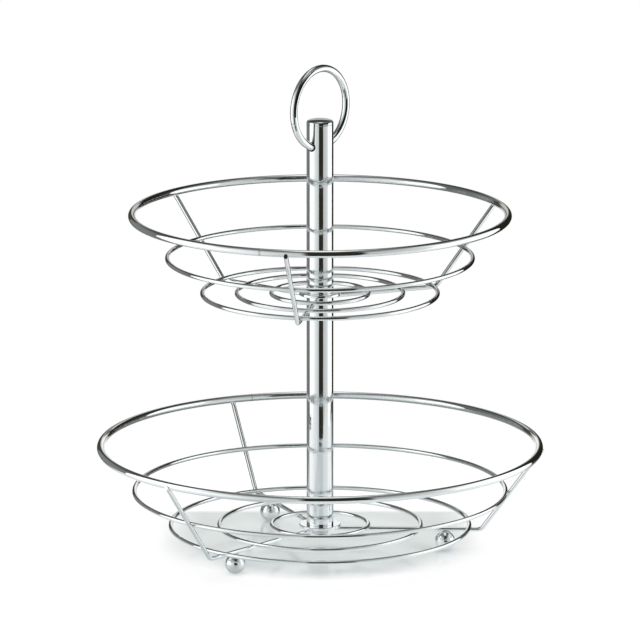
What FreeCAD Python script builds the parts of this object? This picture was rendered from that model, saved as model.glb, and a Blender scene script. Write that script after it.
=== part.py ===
import FreeCAD, Part

import math
import os

# A two-tier basket stand of bent and welded steel wire. Two round baskets are
# threaded on a tube post, a ring handle passes through the top of the post, and
# three balls under the lower basket are its feet.
# Millimetres, +Z up. The origin is on the floor, on the axis of the post.
# The side that faces the viewer in the usual view is -Y.

# Wire diameters
rim_wire = 5.0
ring_wire = 3.0
rib_wire = 3.0
handle_wire = 5.0

# How far two welded pieces are pressed into each other
wire_weld_set = 0.4
foot_weld_set = 0.25
hub_weld_set = 0.1

# Lower basket: outside diameters, the rim's height above the base rings, and the
# ribs' directions about the post
lower_rim_diameter = 300.0
lower_rim_rise = 54.6
lower_mid_diameter = 253.0
lower_base_inset = 8.1
lower_middle_ring_share = 0.52
lower_rib_angles = (-2.0, 114.0, 228.0)

# Upper basket
upper_rim_diameter = 256.0
upper_rim_rise = 53.2
upper_mid_diameter = 207.0
upper_base_inset = 5.3
upper_middle_ring_share = 0.5
upper_rib_angles = (22.0, 141.0, 260.0)

# Both baskets: the mid ring's height above the base rings, the innermost ring and the ribs
mid_rise = 24.1
inner_ring_diameter = 68.0
rib_bend_radius = 5.0
rib_rim_lap = 0.1
rib_overrun = 0.5
rib_end_round = 0.5
spoke_tube_gap = 1.0

# Ball feet, each part way along its spoke from the middle to the outer base ring
foot_diameter = 13.5
foot_place_share = 0.5

# Post
tube_diameter = 18.0
tube_wall = 1.0
tube_edge_break = 0.25
lower_tube_length = 158.0
upper_tube_length = 114.3

# Hub discs, which stand out past the post all round
hub_flange = 5.0
hub_thickness = 2.0
hub_edge_round = 0.5

# End cap
cap_height = 2.9
cap_round = 1.7
cap_crown = 0.4
cap_plug_length = 6.0
cap_clearance = 0.1

# Handle ring and the cross-holes that carry it
handle_diameter = 58.0
handle_hole_drop = 14.5
handle_clearance = 0.8
handle_angle = 49.2

# Screws and threaded inserts inside the post
thread_diameter = 6.0
thread_clearance = 0.1
stud_margin = 1.0
stud_chamfer = 0.7
insert_length = 12.0
insert_recess = 0.3
insert_clearance = 0.05
screw_head_diameter = 11.0
screw_head_height = 4.0
screw_head_round = 1.5
screw_socket_width = 4.0
screw_socket_depth = 2.5
washer_diameter = 14.0
washer_thickness = 1.2
hub_bore_clearance = 0.2

# How far a cutting tool runs past the face that it cuts
cut_overrun = 1.0

# The levels of the stand, from the floor up
lower_spoke_height = foot_diameter + rib_wire / 2 - foot_weld_set
lower_hub_underside = lower_spoke_height + rib_wire / 2 - hub_weld_set
lower_tube_bottom = lower_hub_underside + hub_thickness
upper_hub_underside = lower_tube_bottom + lower_tube_length
upper_spoke_height = upper_hub_underside - rib_wire / 2 + hub_weld_set
upper_tube_bottom = upper_hub_underside + hub_thickness
upper_tube_top = upper_tube_bottom + upper_tube_length

tube_radius = tube_diameter / 2
tube_bore_radius = tube_radius - tube_wall
up = FreeCAD.Vector(0, 0, 1)


def on_axis(height):
    """The point on the post's axis at a height."""
    return FreeCAD.Vector(0, 0, height)


def in_section(radius, height):
    """A point of a section through the post's axis, before it is turned about it."""
    return FreeCAD.Vector(radius, 0, height)


def turned(shape, angle):
    """A copy of the shape, turned about the post's axis by an angle in degrees."""
    copy = shape.copy()
    copy.rotate(on_axis(0), up, angle)
    return copy


def revolved(edges):
    """The solid that a closed outline in the section plane sweeps about the axis."""
    face = Part.Face(Part.Wire(edges))
    return face.revolve(on_axis(0), up, 360)


def wire_ring(outside_diameter, wire, height):
    """A closed ring of round wire, level, at the height of its centreline."""
    return Part.makeTorus((outside_diameter - wire) / 2, wire / 2, on_axis(height))


def circles_at(shape, height, radius):
    """The round edges of a turned solid that lie at one height, at one radius."""
    rounds = [edge for edge in shape.Edges if isinstance(edge.Curve, Part.Circle)]
    level = [edge for edge in rounds if math.isclose(edge.Curve.Center.z, height)]
    return [edge for edge in level if math.isclose(edge.Curve.Radius, radius)]


def rib_outline(rim_radius, rim_rise, mid_radius, spoke_height, ring_height):
    """The rib's centreline in its section: spoke, bend and side, and its end point.

    The straight side touches the mid ring from outside and runs up past the rim's
    outer underside, where its end is welded on.
    """
    mid_reach = (ring_wire + rib_wire) / 2 - wire_weld_set
    rim_reach = rim_wire / 2 - rib_rim_lap
    run = rim_radius - mid_radius
    rise = rim_rise - mid_rise
    slope = math.atan2(rise, run) - math.asin((rim_reach - mid_reach) / math.hypot(run, rise))
    side = in_section(math.cos(slope), math.sin(slope))
    outward = in_section(math.sin(slope), -math.cos(slope))
    touch = in_section(rim_radius, ring_height + rim_rise) + outward * rim_reach
    end = touch + side * rib_overrun
    corner = touch - side * ((touch.z - spoke_height) / side.z)
    setback = rib_bend_radius * math.tan(slope / 2)
    bend_start = corner - in_section(setback, 0)
    bend_end = corner + side * setback
    bend_centre = bend_start + in_section(0, rib_bend_radius)
    half = in_section(math.sin(slope / 2), -math.cos(slope / 2))
    bend_middle = bend_centre + half * rib_bend_radius
    start = in_section(tube_radius + spoke_tube_gap, spoke_height)
    edges = [
        Part.LineSegment(start, bend_start).toShape(),
        Part.Arc(bend_start, bend_middle, bend_end).toShape(),
        Part.LineSegment(bend_end, end).toShape(),
    ]
    return edges, corner, end


def make_rib(edges, end, rim):
    """One rib of bent wire, with its upper end rounded off and shaped to the rim."""
    path = Part.Wire(edges)
    start = edges[0].Vertexes[0].Point
    section = Part.Wire(Part.makeCircle(rib_wire / 2, start, in_section(1, 0)))
    rib = path.makePipeShell([section], True, False)
    rim_end = [edge for edge in rib.Edges if edge.CenterOfMass.isEqual(end, rib_end_round)]
    return rib.makeFillet(rib_end_round, rim_end).cut(rim)


def make_basket(tier, rim_diameter, rim_rise, mid_diameter, base_inset, middle_share, rib_angles,
                spoke_height):
    """The wire pieces of one basket, by name, and the place of its feet along a spoke."""
    ring_height = spoke_height + (ring_wire + rib_wire) / 2 - wire_weld_set
    rim_radius = (rim_diameter - rim_wire) / 2
    mid_radius = (mid_diameter - ring_wire) / 2
    edges, corner, end = rib_outline(rim_radius, rim_rise, mid_radius, spoke_height, ring_height)
    outer_diameter = 2 * (corner.x - base_inset) + ring_wire
    middle_diameter = inner_ring_diameter + middle_share * (outer_diameter - inner_ring_diameter)
    basket = {
        f"{tier}_rim": wire_ring(rim_diameter, rim_wire, ring_height + rim_rise),
        f"{tier}_mid_ring": wire_ring(mid_diameter, ring_wire, ring_height + mid_rise),
        f"{tier}_base_ring_outer": wire_ring(outer_diameter, ring_wire, ring_height),
        f"{tier}_base_ring_middle": wire_ring(middle_diameter, ring_wire, ring_height),
        f"{tier}_base_ring_inner": wire_ring(inner_ring_diameter, ring_wire, ring_height),
    }
    rib = make_rib(edges, end, basket[f"{tier}_rim"])
    for number, angle in enumerate(rib_angles, start=1):
        basket[f"{tier}_rib_{number}"] = turned(rib, angle)
    span = outer_diameter - middle_diameter
    foot_radius = (middle_diameter - ring_wire + foot_place_share * span) / 2
    return basket, foot_radius


def make_foot(foot_radius, angle):
    """A ball under one spoke, standing on the floor."""
    ball = Part.makeSphere(foot_diameter / 2, in_section(foot_radius, foot_diameter / 2))
    return turned(ball, angle)


def make_hub_disc(underside):
    """The disc that a basket's spokes are welded under and the post is screwed to."""
    radius = tube_radius + hub_flange
    disc = Part.makeCylinder(radius, hub_thickness, on_axis(underside))
    rims = circles_at(disc, underside, radius) + circles_at(disc, underside + hub_thickness, radius)
    disc = disc.makeFillet(hub_edge_round, rims)
    bore_radius = thread_diameter / 2 + hub_bore_clearance
    depth = hub_thickness + 2 * cut_overrun
    bore = Part.makeCylinder(bore_radius, depth, on_axis(underside - cut_overrun))
    return disc.cut(bore)


def make_tube(bottom, length):
    """A plain length of the post, with its outer edges broken."""
    tube = Part.makeCylinder(tube_radius, length, on_axis(bottom))
    ends = circles_at(tube, bottom, tube_radius) + circles_at(tube, bottom + length, tube_radius)
    tube = tube.makeChamfer(tube_edge_break, ends)
    bore_length = length + 2 * cut_overrun
    bore = Part.makeCylinder(tube_bore_radius, bore_length, on_axis(bottom - cut_overrun))
    return tube.cut(bore)


def make_upper_tube(hole_height):
    """The upper tube, with the cross-hole that the handle ring passes through."""
    across = turned(Part.Vertex(in_section(1, 0)), handle_angle).Point
    reach = tube_radius + cut_overrun
    start = on_axis(hole_height) - across * reach
    hole_radius = handle_wire / 2 + handle_clearance
    hole = Part.makeCylinder(hole_radius, 2 * reach, start, across)
    return make_tube(upper_tube_bottom, upper_tube_length).cut(hole)


def make_end_cap():
    """The cap: a plug inside the tube, and a head with a round shoulder and a low crown."""
    plug_radius = tube_bore_radius - cap_clearance
    plug_bottom = upper_tube_top - cap_plug_length
    crown_radius = tube_radius - cap_round
    crown_base = upper_tube_top + cap_height - cap_crown
    crown_top = upper_tube_top + cap_height
    sphere_radius = (crown_radius ** 2 + cap_crown ** 2) / (2 * cap_crown)
    sphere_centre = crown_top - sphere_radius
    crown_middle = crown_radius / 2
    crown_height = sphere_centre + math.sqrt(sphere_radius ** 2 - crown_middle ** 2)
    shoulder_centre = in_section(crown_radius, crown_base - cap_round)
    shoulder_middle = shoulder_centre + in_section(1, 1).normalize() * cap_round
    corners = [
        on_axis(crown_top),
        on_axis(plug_bottom),
        in_section(plug_radius, plug_bottom),
        in_section(plug_radius, upper_tube_top),
        in_section(tube_radius - tube_edge_break, upper_tube_top),
        in_section(tube_radius, upper_tube_top + tube_edge_break),
        in_section(tube_radius, crown_base - cap_round),
    ]
    edges = [Part.LineSegment(a, b).toShape() for a, b in zip(corners, corners[1:])]
    shoulder_top = in_section(crown_radius, crown_base)
    edges.append(Part.Arc(corners[-1], shoulder_middle, shoulder_top).toShape())
    crown_through = in_section(crown_middle, crown_height)
    edges.append(Part.Arc(shoulder_top, crown_through, corners[0]).toShape())
    return revolved(edges)


def make_handle(hole_height):
    """The closed ring handle, upright, hung in the post's cross-hole."""
    ring_radius = (handle_diameter - handle_wire) / 2
    wall_middle = tube_radius - tube_wall / 2
    centre = on_axis(hole_height + math.sqrt(ring_radius ** 2 - wall_middle ** 2))
    axis = turned(Part.Vertex(in_section(1, 0)), handle_angle + 90).Point
    return Part.makeTorus(ring_radius, handle_wire / 2, centre, axis)


def make_insert(bottom):
    """A round threaded insert, fixed in an end of a tube."""
    outer = Part.makeCylinder(tube_bore_radius - insert_clearance, insert_length, on_axis(bottom))
    bore_radius = thread_diameter / 2 + thread_clearance
    bore_length = insert_length + 2 * cut_overrun
    bore = Part.makeCylinder(bore_radius, bore_length, on_axis(bottom - cut_overrun))
    return outer.cut(bore)


def make_stud(bottom, top):
    """A threaded stud, drawn as its outside cylinder, with chamfered ends."""
    radius = thread_diameter / 2
    stud = Part.makeCylinder(radius, top - bottom, on_axis(bottom))
    ends = circles_at(stud, bottom, radius) + circles_at(stud, top, radius)
    return stud.makeChamfer(stud_chamfer, ends)


def make_base_screw(seat, top):
    """The screw under the stand: a round head with a hexagon socket, and its shank."""
    head_radius = screw_head_diameter / 2
    underside = seat - screw_head_height
    head = Part.makeCylinder(head_radius, screw_head_height, on_axis(underside))
    head = head.makeFillet(screw_head_round, circles_at(head, underside, head_radius))
    shank = Part.makeCylinder(thread_diameter / 2, top - seat, on_axis(seat))
    shank = shank.makeChamfer(stud_chamfer, circles_at(shank, top, thread_diameter / 2))
    socket_radius = screw_socket_width / math.sqrt(3)
    corner = in_section(socket_radius, underside - cut_overrun)
    corners = [turned(Part.Vertex(corner), turn).Point for turn in range(0, 361, 60)]
    socket_face = Part.Face(Part.makePolygon(corners))
    socket = socket_face.extrude(up * (screw_socket_depth + cut_overrun))
    return head.cut(socket).fuse(shank).removeSplitter()


def make_washer(seat):
    """The flat washer between the base screw's head and the lower hub disc."""
    washer = Part.makeCylinder(washer_diameter / 2, washer_thickness, on_axis(seat - washer_thickness))
    bore_radius = thread_diameter / 2 + hub_bore_clearance
    depth = washer_thickness + 2 * cut_overrun
    bore = Part.makeCylinder(bore_radius, depth, on_axis(seat - washer_thickness - cut_overrun))
    return washer.cut(bore)


lower_wires, foot_radius = make_basket(
    "lower", lower_rim_diameter, lower_rim_rise, lower_mid_diameter, lower_base_inset,
    lower_middle_ring_share, lower_rib_angles, lower_spoke_height)
upper_wires, _ = make_basket(
    "upper", upper_rim_diameter, upper_rim_rise, upper_mid_diameter, upper_base_inset,
    upper_middle_ring_share, upper_rib_angles, upper_spoke_height)

handle_hole_height = upper_tube_top - handle_hole_drop
bottom_insert_base = lower_tube_bottom + insert_recess
top_insert_base = upper_hub_underside - insert_recess - insert_length
upper_insert_base = upper_tube_bottom + insert_recess
screw_seat = lower_hub_underside - washer_thickness

pieces = {**lower_wires, **upper_wires}
for number, angle in enumerate(lower_rib_angles, start=1):
    pieces[f"foot_{number}"] = make_foot(foot_radius, angle)
pieces["lower_hub_disc"] = make_hub_disc(lower_hub_underside)
pieces["upper_hub_disc"] = make_hub_disc(upper_hub_underside)
pieces["lower_tube"] = make_tube(lower_tube_bottom, lower_tube_length)
pieces["upper_tube"] = make_upper_tube(handle_hole_height)
pieces["end_cap"] = make_end_cap()
pieces["handle_ring"] = make_handle(handle_hole_height)
pieces["lower_tube_bottom_insert"] = make_insert(bottom_insert_base)
pieces["lower_tube_top_insert"] = make_insert(top_insert_base)
pieces["upper_tube_insert"] = make_insert(upper_insert_base)
pieces["joining_stud"] = make_stud(
    top_insert_base + stud_margin, upper_insert_base + insert_length - stud_margin)
pieces["base_screw"] = make_base_screw(screw_seat, bottom_insert_base + insert_length - stud_margin)
pieces["base_washer"] = make_washer(lower_hub_underside)

os.makedirs("parts", exist_ok=True)
for name, shape in pieces.items():
    shape.exportStep(f"parts/{name}.step")
    box = shape.BoundBox
    print(f"{name}: {len(shape.Solids)} solid, valid {shape.isValid()}, {shape.Volume:.1f} mm3,"
          f" z {box.ZMin:.2f} to {box.ZMax:.2f}, x {box.XMin:.2f} to {box.XMax:.2f}")
print(f"hinge of the handle ring at z {handle_hole_height:.2f}")
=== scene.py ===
import math

import bmesh
import bpy
from mathutils import Matrix, Vector, noise


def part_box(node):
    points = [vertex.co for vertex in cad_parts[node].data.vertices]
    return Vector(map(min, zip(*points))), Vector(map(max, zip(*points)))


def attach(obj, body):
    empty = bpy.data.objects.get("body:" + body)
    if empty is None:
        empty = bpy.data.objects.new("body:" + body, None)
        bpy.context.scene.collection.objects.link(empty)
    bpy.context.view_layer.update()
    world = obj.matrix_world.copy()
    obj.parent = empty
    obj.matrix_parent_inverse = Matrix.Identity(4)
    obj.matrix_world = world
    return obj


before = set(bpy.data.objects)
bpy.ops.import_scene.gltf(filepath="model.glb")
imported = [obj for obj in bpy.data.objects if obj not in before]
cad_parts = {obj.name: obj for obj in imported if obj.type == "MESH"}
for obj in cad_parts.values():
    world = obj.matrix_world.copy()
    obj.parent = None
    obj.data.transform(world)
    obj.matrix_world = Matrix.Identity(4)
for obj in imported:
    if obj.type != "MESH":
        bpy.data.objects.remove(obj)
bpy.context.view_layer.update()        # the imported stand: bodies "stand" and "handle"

# Basket rims
# The rim of each basket is a closed hoop of 5 mm drawn steel wire, butt welded, polished and
# bright chrome plated. Drawing and polishing leave faint lines that follow the wire round.

mm = 0.001
tiers = ("lower", "upper")


class Shade:
    """A value that a node gives out. Operators on it add Math nodes to the same node tree."""

    def __init__(self, tree, output=None):
        self.tree = tree
        self.output = output

    def make(self, kind, settings=None, sockets=None, out=0):
        """Adds a node, with its settings first and then its sockets' values or links."""
        node = self.tree.nodes.new(kind)
        for name, value in (settings or {}).items():
            if name == "stops":
                stops = node.color_ramp.elements
                while len(stops) < len(value):
                    stops.new(1)
                for stop, (place, colour) in zip(stops, value):
                    stop.position = place
                    stop.color = (*colour, 1)
            else:
                setattr(node, name, value)
        for name, value in (sockets or {}).items():
            socket = node.inputs[name]
            if isinstance(value, Shade):
                self.tree.links.new(value.output, socket)
            elif socket.type == "RGBA":
                socket.default_value = (*value, 1)
            else:
                socket.default_value = value
        return Shade(self.tree, node.outputs[out])

    def maths(self, operation, first, second=0.0):
        return self.make("ShaderNodeMath", {"operation": operation}, {0: first, 1: second})

    def __add__(self, other):
        return self.maths("ADD", self, other)

    def __radd__(self, other):
        return self.maths("ADD", other, self)

    def __sub__(self, other):
        return self.maths("SUBTRACT", self, other)

    def __rsub__(self, other):
        return self.maths("SUBTRACT", other, self)

    def __mul__(self, other):
        return self.maths("MULTIPLY", self, other)

    def __rmul__(self, other):
        return self.maths("MULTIPLY", other, self)

    def __pow__(self, other):
        return self.maths("POWER", self, other)

    def __rpow__(self, other):
        return self.maths("POWER", other, self)

    def __abs__(self):
        return self.maths("ABSOLUTE", self)

    def parts(self):
        """The x, y and z of a vector."""
        return [self.make("ShaderNodeSeparateXYZ", None, {0: self}, axis) for axis in "XYZ"]

    def cloud(self, per_metre, detail):
        """A smooth random value over a place, with so many lumps to the metre."""
        pattern = {"Vector": self, "Scale": per_metre, "Detail": detail}
        return self.make("ShaderNodeTexNoise", None, pattern)

    def ease(self, start, end):
        """0 up to the start, 1 from the end on, and smooth between them."""
        limits = {"Value": self, "From Min": start, "From Max": end}
        return self.make("ShaderNodeMapRange", {"interpolation_type": "SMOOTHSTEP"}, limits)

    def blend(self, first, second):
        """A colour between two, by this value."""
        return self.make("ShaderNodeMix", {"data_type": "RGBA"}, {0: self, 6: first, 7: second}, 2)

    def cover(self, under, over):
        """One finish over another, by this value."""
        return self.make("ShaderNodeMixShader", None, {0: self, 1: under, 2: over})


def new_finish(name):
    """A new material, its shader and the place on the surface that patterns read."""
    material = bpy.data.materials.new(name)
    material.use_nodes = True
    shader = material.node_tree.nodes["Principled BSDF"]
    return material, shader, Shade(material.node_tree).make("ShaderNodeTexCoord", out="Object")


def feed(shader, **values):
    """Links values that change over the surface to the shader's sockets."""
    for name, value in values.items():
        value.tree.links.new(value.output, shader.inputs[name.replace("_", " ")])


def chrome(name, marks, mark_depth, ripple=0.012 * mm, gloss=0.015, haze=0.08,
           bright=(0.9, 0.91, 0.915), smudged=(0.82, 0.845, 0.855)):
    """Bright chrome plate, smudged in patches and a little rippled. Marks are its fine lines."""
    material, shader, place = new_finish(name)
    shader.inputs["Metallic"].default_value = 1.0
    smudges = place.cloud(per_metre=45, detail=4)
    height = place.cloud(per_metre=160, detail=1) * ripple + marks(place) * mark_depth
    bump = {"Strength": 1.0, "Distance": 1.0, "Height": height}
    feed(shader, Base_Color=smudges.blend(bright, smudged), Roughness=smudges * haze + gloss,
         Normal=place.make("ShaderNodeBump", None, bump))
    return material


def finish(material, *names):
    """Gives CAD pieces their material."""
    for name in names:
        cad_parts[name].material_slots[0].material = material


def lines_round(place):
    """Fine lines that run round the post's axis, as on a hoop of drawn wire."""
    x, y, z = place.parts()
    section = place.make("ShaderNodeCombineXYZ", None, {"X": (x * x + y * y) ** 0.5, "Y": z})
    return section.cloud(per_metre=2200, detail=1)


finish(chrome("rim_chrome", lines_round, mark_depth=0.001 * mm),
       *[f"{tier}_rim" for tier in tiers])

# Basket rings
# Four thinner hoops to a basket, of 3 mm wire: one half way up the side and three in the base.
# They are drawn and plated as the rims are, and handling leaves them a little duller.

base_rings = ("base_ring_outer", "base_ring_middle", "base_ring_inner")
finish(chrome("ring_chrome", lines_round, mark_depth=0.001 * mm, haze=0.09),
       *[f"{tier}_{ring}" for tier in tiers for ring in ("mid_ring", *base_rings)])

# Basket ribs
# Three bent 3 mm wires to a basket. Each is a spoke under the base rings, a bend, and a straight
# side up to the rim. Bending leaves the plate a little wavy.

rib_numbers = (1, 2, 3)


def fine_grain(place):
    """Even, very fine grain, where polishing runs no one way."""
    return place.cloud(per_metre=1800, detail=1)


finish(chrome("rib_chrome", fine_grain, mark_depth=0.001 * mm, ripple=0.006 * mm, haze=0.07),
       *[f"{tier}_rib_{number}" for tier in tiers for number in rib_numbers])

# Hub discs
# A pressed steel disc in the middle of each basket: the spokes are welded under it and the post
# is screwed to it. The polishing wheel leaves rings about its middle.

finish(chrome("disc_chrome", lines_round, mark_depth=0.003 * mm),
       *[f"{tier}_hub_disc" for tier in tiers])

# Ball feet
# Three turned steel balls, welded at their tops under the lower basket's spokes and plated with
# the basket.

foot_names = ("foot_1", "foot_2", "foot_3")
finish(chrome("ball_chrome", fine_grain, mark_depth=0.001 * mm), *foot_names)

# Welds
# Where two wires cross they are pressed together and spot welded before plating. The metal that
# is squeezed out stays as a small bead under the chrome, at each crossing, hub and foot.

bead_round = 1.7 * mm
bead_thick = 0.55 * mm
hub_bead_long = 2.4 * mm
hub_bead_radius = 11.5 * mm
foot_bead_round = 2.4 * mm
rim_bead_back = 1.2 * mm
lump_seed = 1        # without a seed, the lumps would change from run to run


def hoop(name):
    """The radius to the middle of a hoop's wire, its height and the wire's thickness."""
    low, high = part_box(name)
    wire = high.z - low.z
    return (high.x - low.x - wire) / 2, (low.z + high.z) / 2, wire


def heading(name):
    """The angle about the post at which a piece lies."""
    middle = Vector()
    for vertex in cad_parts[name].data.vertices:
        middle += vertex.co
    return math.atan2(middle.y, middle.x)


def rib_side(tier):
    """The slope of a basket's ribs up to the rim, and the lines along them and out from them."""
    rim_radius, rim_height, _ = hoop(f"{tier}_rim")
    mid_radius, mid_height, _ = hoop(f"{tier}_mid_ring")
    slope = math.atan2(rim_height - mid_height, rim_radius - mid_radius)
    along = Vector((math.cos(slope), 0, math.sin(slope)))
    outward = Vector((math.sin(slope), 0, -math.cos(slope)))
    return slope, along, outward


def touch(name, outward):
    """Where a rib touches a hoop from outside."""
    radius, height, wire = hoop(name)
    return Vector((radius, 0, height)) + outward * wire / 2


def add_bead(mesh, angle, radius, height, lean=0.0, long=bead_round, wide=bead_round):
    """One flat round bead at a radius and height on a rib, leaning outwards with the rib's side."""
    size = Matrix.Diagonal((long, wide, bead_thick, 1))
    turn = Matrix.Rotation(angle, 4, "Z")
    spot = turn @ Matrix.Translation((radius, 0, height)) @ Matrix.Rotation(lean, 4, "Y") @ size
    bmesh.ops.create_icosphere(mesh, subdivisions=3, radius=1, matrix=spot)


def lump(mesh, depth, per_metre):
    """Makes welded metal a little uneven, as squeezed or ground metal is."""
    noise.seed_set(lump_seed)
    for vertex in mesh.verts:
        vertex.co += noise.noise_vector(vertex.co * per_metre) * depth


def make_object(name, mesh, material):
    """Turns a finished mesh into an object of one material."""
    thing = bpy.data.objects.new(name, bpy.data.meshes.new(name))
    mesh.to_mesh(thing.data)
    mesh.free()
    thing.data.materials.append(material)
    bpy.context.scene.collection.objects.link(thing)
    return thing


def place_piece(name, mesh, material, body):
    """Makes a finished mesh a smooth piece that moves with a body."""
    piece = make_object(name, mesh, material)
    for face in piece.data.polygons:
        face.use_smooth = True
    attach(piece, body)
    return piece


weld_chrome = chrome("weld_chrome", fine_grain, mark_depth=0.01 * mm, gloss=0.08, haze=0.3,
                     bright=(0.78, 0.79, 0.8), smudged=(0.5, 0.51, 0.52))
foot_middles = [sum(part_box(name), Vector()) / 2 for name in foot_names]
foot_radius = sum(middle.xy.length for middle in foot_middles) / len(foot_names)
foot_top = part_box("foot_1")[1].z
for tier in tiers:
    beads = bmesh.new()
    slope, along, outward = rib_side(tier)
    mid_touch = touch(f"{tier}_mid_ring", outward)
    rim_touch = touch(f"{tier}_rim", outward) - along * rim_bead_back
    spoke_wire = hoop(f"{tier}_mid_ring")[2]
    hub_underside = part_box(f"{tier}_hub_disc")[0].z
    for number in rib_numbers:
        rib = f"{tier}_rib_{number}"
        angle = heading(rib)
        spoke_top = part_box(rib)[0].z + spoke_wire
        for ring in base_rings:
            add_bead(beads, angle, hoop(f"{tier}_{ring}")[0], spoke_top)
        for spot in (mid_touch, rim_touch):
            add_bead(beads, angle, spot.x, spot.z, lean=-slope)
        add_bead(beads, angle, hub_bead_radius, hub_underside, long=hub_bead_long)
        if tier == "lower":
            add_bead(beads, angle, foot_radius, foot_top,
                     long=foot_bead_round, wide=foot_bead_round)
    lump(beads, depth=0.12 * mm, per_metre=900)
    place_piece(f"{tier}_welds", beads, weld_chrome, "stand")

# Rib ends
# Each rib is sheared off at a slant beside the rim, and plated with the rest. The sheared face
# looks outwards, a little spread by the shear. One is askew, and the widest is filed round.

shear_rise = math.radians(13)
shear_askew = {"upper_rib_3": math.radians(11)}
shear_half_width = 1.5 * mm
shear_half_height = 1.7 * mm
shear_deep = 1.1 * mm
shear_edge = 0.15 * mm
shear_out = {"lower": 0.7 * mm, "upper": 0.9 * mm}
shear_up = {"lower": 0.5 * mm, "upper": 0.4 * mm}
filed_round = "lower_rib_1"
end_past_rim = 0.5 * mm
end_set = 0.1 * mm
end_chrome = chrome("end_chrome", fine_grain, mark_depth=0.001 * mm)
shear_facing = Vector((math.cos(shear_rise), 0, math.sin(shear_rise)))
slant = Matrix.Rotation(math.pi / 2 - shear_rise, 4, "Y")
oval = Matrix.Diagonal((shear_half_height, shear_half_width, shear_deep, 1))
for tier in tiers:
    ends = bmesh.new()
    _, along, outward = rib_side(tier)
    rib_end = touch(f"{tier}_rim", outward) - outward * end_set + along * end_past_rim
    sheared_face = rib_end + outward * shear_out[tier] + along * shear_up[tier]
    slug_middle = Matrix.Translation(sheared_face - shear_facing * shear_deep / 2)
    for number in rib_numbers:
        rib = f"{tier}_rib_{number}"
        if rib == filed_round:
            continue
        turn = Matrix.Rotation(heading(rib), 4, "Z")
        askew = Matrix.Rotation(shear_askew.get(rib, 0.0), 4, "Z")
        spot = turn @ slug_middle @ askew @ slant @ oval
        bmesh.ops.create_cone(ends, cap_ends=True, segments=32, radius1=1, radius2=1, depth=1,
                              matrix=spot)
    edges = [edge for edge in ends.edges if any(len(face.verts) > 4 for face in edge.link_faces)]
    bmesh.ops.bevel(ends, geom=edges, offset=shear_edge, offset_type="OFFSET", affect="EDGES",
                    segments=3, profile=0.5, material=-1)
    sheared = place_piece(f"{tier}_rib_ends", ends, end_chrome, "stand")
    for face in sheared.data.polygons:
        face.use_smooth = len(face.vertices) == 4

# Rim joints
# Each rim hoop is closed by a butt weld, ground back and plated over. A low swelling is left on
# the wire there, which fades into the wire at both ends.

joint_angles = {"lower": math.radians(109), "upper": math.radians(252)}
joint_half_length = 5 * mm
joint_proud = 0.035 * mm
for tier in tiers:
    swelling = bmesh.new()
    rim_radius, rim_height, rim_wire = hoop(f"{tier}_rim")
    half = rim_wire / 2 + joint_proud
    turn = Matrix.Rotation(joint_angles[tier], 4, "Z")
    size = Matrix.Diagonal((half, joint_half_length, half, 1))
    spot = turn @ Matrix.Translation((rim_radius, 0, rim_height)) @ size
    bmesh.ops.create_icosphere(swelling, subdivisions=5, radius=1, matrix=spot)
    lump(swelling, depth=0.02 * mm, per_metre=700)
    place_piece(f"{tier}_rim_joint", swelling, weld_chrome, "stand")

# Post
# Two lengths of 18 mm steel tube between and above the hub discs, polished along their length
# and chrome plated.

line_stretch = 0.03


def lines_along(place):
    """Fine polishing lines up and down the post."""
    x, y, z = place.parts()
    stretched = place.make("ShaderNodeCombineXYZ", None, {"X": x, "Y": y, "Z": z * line_stretch})
    return stretched.cloud(per_metre=1500, detail=1)


finish(chrome("tube_chrome", lines_along, mark_depth=0.0015 * mm, ripple=0.045 * mm),
       *[f"{tier}_tube" for tier in tiers])

# End cap
# A turned cap with a round shoulder, pressed into the top of the post. Its low crown keeps the
# lathe's fine rings.

finish(chrome("cap_chrome", lines_round, mark_depth=0.004 * mm), "end_cap")

# Ring handle
# A closed ring of 5 mm wire through two holes in the post, loose enough to swing over to either
# side and tight enough to stay up.

finish(chrome("handle_chrome", fine_grain, mark_depth=0.002 * mm), "handle_ring")

# Screws and inserts
# Zinc plated steel: three threaded inserts in the ends of the tubes, the stud that joins the
# tubes, and the screw and washer that hold the post from below.

zinc_dull = (0.52, 0.55, 0.6)
zinc_bright = (0.68, 0.69, 0.68)
zinc, zinc_shader, zinc_place = new_finish("zinc_plate")
zinc_shader.inputs["Metallic"].default_value = 1.0
spangle = zinc_place.cloud(per_metre=900, detail=3)
feed(zinc_shader, Base_Color=spangle.blend(zinc_dull, zinc_bright), Roughness=spangle * 0.25 + 0.2)
finish(zinc, "lower_tube_bottom_insert", "lower_tube_top_insert", "upper_tube_insert",
       "joining_stud", "base_screw", "base_washer")

# Table
# A smooth white table top that ends a little way in front of the stand. Under the base a dark
# tinted sheen paints a grey shade on it. Chrome shows it in painted greys: a painted shadow at the
# front left, paler at the sides and dark behind. Where chrome looks along it, its polish mirrors
# the studio.

table_front, table_back = -0.305, 0.26
table_half_width = 0.36
table_mesh = bmesh.new()
table_size = Matrix.Diagonal((2 * table_half_width, table_back - table_front, 1, 1))
table_middle = Matrix.Translation((0, (table_back + table_front) / 2, 0))
bmesh.ops.create_grid(table_mesh, x_segments=1, y_segments=1, size=0.5,
                      matrix=table_middle @ table_size)
table_white, _, table_place = new_finish("table_white")
table = make_object("table_top", table_mesh, table_white)
seen = table_place.make("ShaderNodeLightPath", out="Is Camera Ray")
mirrored = table_place.make("ShaderNodeLightPath", out="Is Glossy Ray")
table_x, table_y, _ = table_place.parts()
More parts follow.
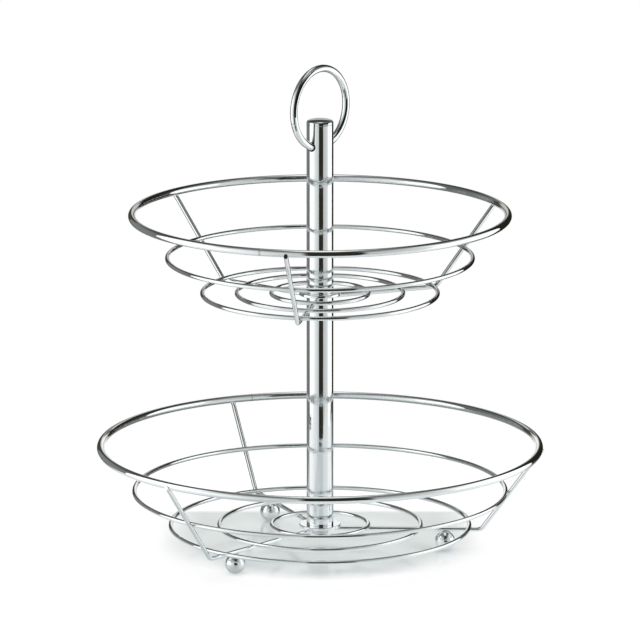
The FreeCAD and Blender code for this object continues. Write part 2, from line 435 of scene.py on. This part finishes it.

# Painted shade, which only chrome sees: the table's greys, in pairs: middle and sides, or left and
# right.
front_greys = (0.86, 0.91, 0.92), (0.86, 0.87, 0.87)
beside_greys = (0.9, 0.95, 0.96), (1.0, 1.0, 1.0)
back_greys = (0.2, 0.21, 0.21), (0.3, 0.32, 0.32)
painted_shadow_grey = (0.64, 0.67, 0.68)
painted_shadow_x = -0.085
sides = abs(table_x).ease(0.1, 0.22)
ahead = table_y.ease(-0.12, 0.03).blend(sides.blend(*front_greys), sides.blend(*beside_greys))
# A painted shadow of the basket on the table at the front left, which only chrome sees.
painted_shadow = (1 - abs(table_x - painted_shadow_x).ease(0.03, 0.06)) * (1 - table_y.ease(-0.07, -0.02))
ahead = painted_shadow.blend(ahead, painted_shadow_grey)
behind = table_x.ease(-0.08, 0.03).blend(*back_greys)
painted_table_shade = table_y.ease(0.03, 0.15).blend(ahead, behind)

# The sheen is a half oval under the base, with a straight edge at the back; its dark tint paints
# a grey shade there, and it mirrors what is above it.
sheen_half_width, sheen_half_depth = 0.105, 0.1
sheen_middle, sheen_back = 0.02, 0.1025
sheen_strength = 0.48
across = table_x * (1 / sheen_half_width)
forward = table_y.maths("MINIMUM", table_y - sheen_middle, 0.0) * (1 / sheen_half_depth)
under_base = 1 - ((across * across + forward * forward) ** 0.5).ease(0.74, 1.1)
before_edge = 1 - table_y.ease(sheen_back - 0.006, sheen_back + 0.003)
painted_shade_sheen = under_base * before_edge * (1 - mirrored) * sheen_strength

# Part of the table's white is a painted glow, which keeps its shadows pale. There is less of it
# under the base, so the shade there stays darker.
glow_under_base, glow_around = 0.4, 0.65
glow_share = (1 - under_base) * (glow_around - glow_under_base) + glow_under_base
matt_colour = mirrored.blend((1.16, 1.16, 1.16), painted_table_shade)
glow_colour = mirrored.blend((1, 1, 1), painted_table_shade)
# The sheen's dark tint, which paints the shade under the base.
painted_shade_look = {"Color": (0.48, 0.56, 0.56), "Roughness": 0.1}
polish_look = {"Color": (0.95, 0.97, 0.97), "Roughness": 0.08}
matt = table_place.make("ShaderNodeBsdfDiffuse", None, {"Color": matt_colour})
glow = table_place.make("ShaderNodeEmission", None, {"Color": glow_colour})
painted_shade_shine = table_place.make("ShaderNodeBsdfGlossy", None, painted_shade_look)
polish = table_place.make("ShaderNodeBsdfGlossy", None, polish_look)
along_table = table_place.make("ShaderNodeFresnel", None, {"IOR": 1.9})
table_top = ((seen + mirrored) * glow_share).cover(matt, glow)
table_top = painted_shade_sheen.cover(table_top, painted_shade_shine)
table_top = (mirrored * along_table).cover(table_top, polish)
table_tree = table_white.node_tree
table_tree.links.new(table_top.output, table_tree.nodes["Material Output"].inputs["Surface"])

# Studio
# The room that the chrome mirrors: bright walls at both sides, pale ones in front with a dark gap
# where the camera stands, dusky ones behind, and a dim ceiling with one pale strip along it, which
# runs on down at the back. The camera itself sees plain white.

studio = bpy.data.worlds.new("studio")
bpy.context.scene.world = studio
studio.use_nodes = True
studio_tree = studio.node_tree
ray = Shade(studio_tree).make("ShaderNodeTexCoord", out="Generated")
ray_x, ray_y, ray_z = ray.parts()
bearing = ray.maths("ARCTAN2", ray_x, ray_y * -1) * (0.5 / math.pi) + 0.5
rise = ray.maths("ARCSINE", ray_z) * (180 / math.pi)


def tone(level):
    """A wall's colour by its brightness: cool where it is light and olive where it is dark."""
    tint = (1.1, 1.06, 0.82) if level < 0.05 else (0.97, 1.01, 1.0)
    return [level * part for part in tint]


def paint(wall):
    """A wall's colours round the room."""
    stops = [(angle / 360 + 0.5, tone(level)) for angle, level in wall]
    return ray.make("ShaderNodeValToRGB", {"stops": stops}, {"Fac": bearing})


# Each wall runs right round: 0 degrees faces the camera and 90 degrees is on the right.
low_wall = [
    (-180, 0.048), (-172, 0.048), (-162, 0.22), (-126, 0.22), (-114, 0.16), (-84, 0.13), (-78, 1.3),
    (-62, 1.2), (-44, 0.95), (-30, 0.78), (-11, 0.62), (-8, 0.024), (26, 0.024), (29, 0.57),
    (48, 0.64), (60, 0.72), (68, 0.82), (77, 1.3), (99, 1.3), (105, 0.1), (118, 0.04),
    (140, 0.015), (163, 0.015), (180, 0.048),
]
high_wall = [
    (-180, 0.05), (-158, 0.06), (-143, 0.035), (-128, 0.1), (-113, 0.14), (-88, 0.14), (-80, 0.85),
    (-56, 0.75), (-36, 0.55), (-14, 0.32), (-9, 0.028), (27, 0.028), (32, 0.32), (44, 0.42),
    (60, 0.56), (72, 0.8), (80, 1.0), (97, 0.9), (106, 0.12), (118, 0.05), (130, 0.02),
    (150, 0.015), (165, 0.03), (180, 0.05),
]
dusk = [
    (-180, 0.18), (-150, 0.11), (-125, 0.08), (-100, 0.15), (-75, 0.28), (-55, 0.21), (-40, 0.16),
    (-20, 0.19), (-11, 0.03), (27, 0.03), (34, 0.18), (50, 0.16), (80, 0.25), (98, 0.21),
    (115, 0.09), (130, 0.05), (150, 0.07), (180, 0.18),
]
fill_grey = (0.4, 0.4, 0.4)        # what the room gives to matt surfaces
ceiling_level = 0.11
strip_level = 1.0
strip_x = 0.015
strip_drop_behind = 24
walls = rise.ease(14, 38).blend(paint(low_wall), paint(high_wall))
ceiling = rise.ease(66, 78).blend(paint(dusk), tone(ceiling_level))
room = rise.ease(40, 60).blend(walls, ceiling)
strip_across = 1 - abs(ray_x - strip_x).ease(0.07, 0.24)
strip_along = (ray_y.ease(0, 0.2) * strip_drop_behind + rise).ease(66, 84)
room = (strip_across * strip_along).blend(room, tone(strip_level))
lit = ray.make("ShaderNodeLightPath", out="Is Glossy Ray").blend(fill_grey, room)
shown = ray.make("ShaderNodeLightPath", out="Is Camera Ray").blend(lit, (1, 1, 1))
studio_tree.links.new(shown.output, studio_tree.nodes["Background"].inputs["Color"])

# Overhead light
# One large soft lamp straight above the stand. It is so broad that the wires' shadows run into
# one soft shade on the table. The chrome doesn't show it.

lamp = bpy.data.lights.new("overhead", "SUN")
lamp.energy = 0.64 * math.pi
lamp.angle = math.radians(80)
overhead = bpy.data.objects.new("overhead", lamp)
overhead.visible_glossy = False
bpy.context.scene.collection.objects.link(overhead)

# Soft boxes
# Two white soft boxes that stand close by the table's left and right edges. Only the chrome shows
# them. Their light dies away towards the top, and on the right one it does so lower down.

left_box_middle, left_box_half_width = Vector((-0.39, -0.0725, 0.4)), Vector((0, 0.1275, 0))
right_box_middle, right_box_half_width = Vector((0.41, 0.07, 0.4)), Vector((0, 0.17, 0))
box_half_height = Vector((0, 0, 0.4))
right_box_lower = 0.12
box_lit = (1.3, 1.34, 1.33)
box_top = (0.15, 0.15, 0.14)


def glowing(name):
    """A new finish that only gives out light: the material, its shader and the place on it."""
    material, shader, place = new_finish(name)
    shader.inputs["Base Color"].default_value = (0, 0, 0, 1)
    shader.inputs["Specular IOR Level"].default_value = 0
    shader.inputs["Emission Strength"].default_value = 1
    return material, shader, place


def hang(name, middle, half_across, half_up, material):
    """Hangs a flat panel by its middle and two half sides, where only chrome shows it."""
    panel_mesh = bmesh.new()
    out = half_across.cross(half_up).normalized()
    size = Matrix((half_across, half_up, out)).transposed().to_4x4()
    spot = Matrix.Translation(middle) @ size
    bmesh.ops.create_grid(panel_mesh, x_segments=1, y_segments=1, size=1, matrix=spot)
    panel = make_object(name, panel_mesh, material)
    panel.visible_camera = False
    panel.visible_shadow = False
    panel.visible_diffuse = False


box_white, box_shader, box_place = glowing("box_white")
box_x, _, box_z = box_place.parts()
box_height = box_x.ease(-0.1, 0.1) * right_box_lower + box_z
feed(box_shader, Emission_Color=box_height.ease(0.4, 0.75).blend(box_lit, box_top))
hang("left_box", left_box_middle, left_box_half_width, box_half_height, box_white)
hang("right_box", right_box_middle, right_box_half_width, box_half_height, box_white)

# Back screen
# A pale grey screen that stands behind the table, brightest behind the post, with a dark rail
# across it and a dark strip at its left. It is no higher than the upper basket needs, so the top
# of the end cap shows both the screen and the dark over it.

screen_middle = Vector((-0.125, 0.68, 0.19))
screen_half_width = Vector((0.295, 0, 0))
screen_half_height = Vector((0, 0, 0.3))
screen_pale = (0.54, 0.55, 0.52)
screen_bright = (1.0, 1.0, 0.97)
rail_dark = (0.13, 0.13, 0.12)
strip_dark = (0.055, 0.055, 0.045)
screen_grey, screen_shader, screen_place = glowing("screen_grey")
screen_x, _, screen_z = screen_place.parts()
lit_part = screen_x.ease(-0.2, -0.17) * (1 - screen_z.ease(0.42, 0.48))
brightest = (1 - abs(screen_x).ease(0.04, 0.15)) * (1 - screen_z.ease(0.26, 0.4))
rail = screen_z.ease(0.255, 0.275) * (1 - screen_z.ease(0.32, 0.345))
screen_tone = rail.blend(brightest.blend(screen_pale, screen_bright), rail_dark)
feed(screen_shader, Emission_Color=lit_part.blend(strip_dark, screen_tone))
hang("back_screen", screen_middle, screen_half_width, screen_half_height, screen_grey)

# Dark card
# A black card hung close above and in front of the ring handle, out of the camera's sight, which
# gives the handle its dark band.

card_middle = Vector((0.045, -0.05, 0.325))
card_half_width = 0.045
card_half_height = 0.047
card_black, card_shader, _ = new_finish("card_black")
card_shader.inputs["Base Color"].default_value = (0.01, 0.01, 0.01, 1)
card_shader.inputs["Roughness"].default_value = 1.0
to_handle = sum(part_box("handle_ring"), Vector()) / 2 - card_middle
card_across = to_handle.cross(Vector((0, 0, 1))).normalized() * card_half_width
card_up = card_across.cross(to_handle).normalized() * card_half_height
hang("dark_card", card_middle, card_across, card_up, card_black)

# Camera
# A long lens four metres from the stand, square to its front and a little above it. It looks at
# the middle of the post.

camera_distance = 4.0
camera_pitch = math.radians(12.7)
look_at = Vector((0, 0, 0.15865))
camera = bpy.data.objects.new("camera", bpy.data.cameras.new("camera"))
towards_camera = Vector((0, -math.cos(camera_pitch), math.sin(camera_pitch)))
camera.location = look_at + towards_camera * camera_distance
camera.rotation_euler = (-towards_camera).to_track_quat("-Z", "Y").to_euler()
camera.data.sensor_width = 36
camera.data.lens = 336
camera.data.clip_end = 50
bpy.context.scene.collection.objects.link(camera)
bpy.context.scene.camera = camera
bpy.context.scene.view_settings.view_transform = "Standard"
